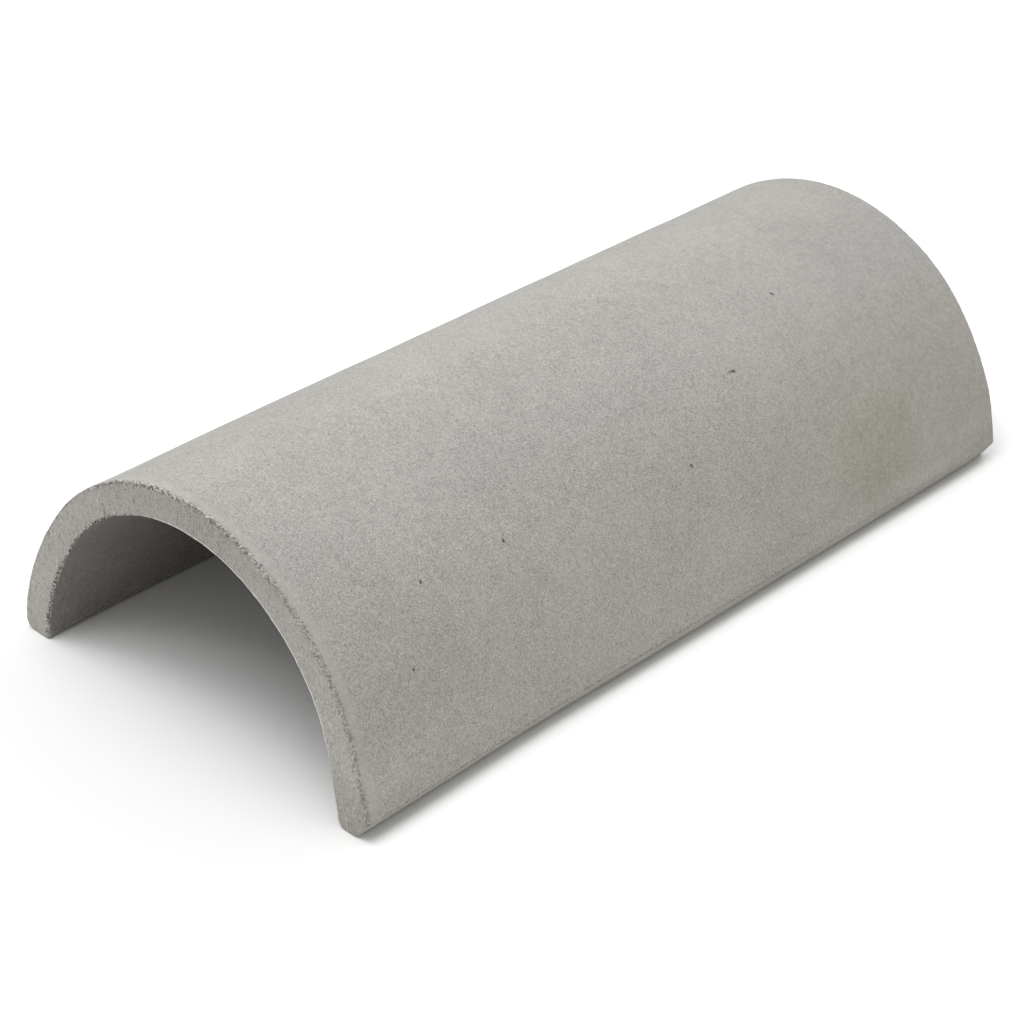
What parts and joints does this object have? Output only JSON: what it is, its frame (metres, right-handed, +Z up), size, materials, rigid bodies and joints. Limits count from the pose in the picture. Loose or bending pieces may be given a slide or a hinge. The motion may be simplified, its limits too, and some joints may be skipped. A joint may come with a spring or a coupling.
{
  "type": "concrete ridge tile",
  "caption": "Half-round concrete ridge tile: a plain arched trough of even wall that caps the ridge of a roof, standing on two bevelled feet.",
  "frame": {"origin": "on the bed that the tile stands on, under the middle of the tile", "axes": "+Y along the ridge, +X across it, +Z up through the crown"},
  "size_m": [0.2236, 0.45, 0.116],
  "materials": {
    "concrete": "matte"
  },
  "bodies": {
    "root": {"ridge_tile": "concrete"}
  },
  "joints": []
}
